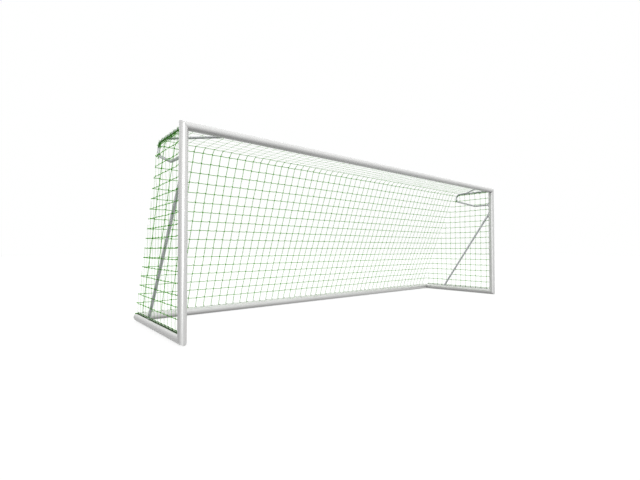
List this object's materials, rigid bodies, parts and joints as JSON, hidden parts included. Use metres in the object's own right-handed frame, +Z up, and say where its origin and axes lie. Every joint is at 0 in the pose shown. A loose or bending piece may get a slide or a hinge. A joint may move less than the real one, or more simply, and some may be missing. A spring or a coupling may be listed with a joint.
{
  "type": "soccer goal",
  "caption": "Full-size free-standing soccer goal: oval aluminium mouth and ground frame, bent net hoops, side struts, hook rails and a knotted green net.",
  "frame": {"origin": "middle of the goal's footprint, on the ground", "axes": "+Z up, +X along the crossbar to the right as seen from the field, +Y from the mouth to the rear bar; the mouth faces -Y"},
  "size_m": [7.52, 1.945, 2.54],
  "materials": {
    "profile_aluminium": "satin, clear anodised",
    "cast_aluminium": "as cast",
    "galvanised_steel": "hot-dip galvanised, dull grey",
    "screw_steel": "bright zinc plated",
    "rail_plastic": "matt, dark grey-green",
    "net_cord": "braided green cord"
  },
  "bodies": {
    "root": {"left_post": "profile_aluminium", "right_post": "profile_aluminium", "crossbar": "profile_aluminium", "left_ground_tube": "profile_aluminium", "right_ground_tube": "profile_aluminium", "rear_ground_bar": "profile_aluminium", "top_left_corner_elbow": "cast_aluminium", "top_right_corner_elbow": "cast_aluminium", "front_left_corner_elbow": "cast_aluminium", "front_right_corner_elbow": "cast_aluminium", "rear_left_corner_elbow": "cast_aluminium", "rear_right_corner_elbow": "cast_aluminium", "top_left_corner_screw_a": "screw_steel", "top_left_corner_screw_b": "screw_steel", "top_right_corner_screw_a": "screw_steel", "top_right_corner_screw_b": "screw_steel", "front_left_corner_screw_a": "screw_steel", "front_left_corner_screw_b": "screw_steel", "front_right_corner_screw_a": "screw_steel", "front_right_corner_screw_b": "screw_steel", "rear_left_corner_screw_a": "screw_steel", "rear_left_corner_screw_b": "screw_steel", "rear_right_corner_screw_a": "screw_steel", "rear_right_corner_screw_b": "screw_steel", "left_net_hoop": "galvanised_steel", "right_net_hoop": "galvanised_steel", "left_hoop_screw_top_a": "screw_steel", "left_hoop_screw_top_b": "screw_steel", "left_hoop_screw_low_a": "screw_steel", "left_hoop_screw_low_b": "screw_steel", "right_hoop_screw_top_a": "screw_steel", "right_hoop_screw_top_b": "screw_steel", "right_hoop_screw_low_a": "screw_steel", "right_hoop_screw_low_b": "screw_steel", "left_top_brace": "galvanised_steel", "right_top_brace": "galvanised_steel", "left_brace_screw_hoop_end": "screw_steel", "left_brace_screw_bar_end": "screw_steel", "right_brace_screw_hoop_end": "screw_steel", "right_brace_screw_bar_end": "screw_steel", "left_side_strut": "galvanised_steel", "right_side_strut": "galvanised_steel", "left_strut_screw_post_a": "screw_steel", "left_strut_screw_post_b": "screw_steel", "left_strut_screw_foot_a": "screw_steel", "left_strut_screw_foot_b": "screw_steel", "right_strut_screw_post_a": "screw_steel", "right_strut_screw_post_b": "screw_steel", "right_strut_screw_foot_a": "screw_steel", "right_strut_screw_foot_b": "screw_steel", "crossbar_net_rail": "rail_plastic", "left_post_net_rail": "rail_plastic", "right_post_net_rail": "rail_plastic", "left_ground_net_rail": "rail_plastic", "right_ground_net_rail": "rail_plastic", "rear_bar_net_rail": "rail_plastic", "net_left_side": "net_cord", "net_right_side": "net_cord", "net_roof": "net_cord", "net_back": "net_cord"}
  },
  "joints": []
}
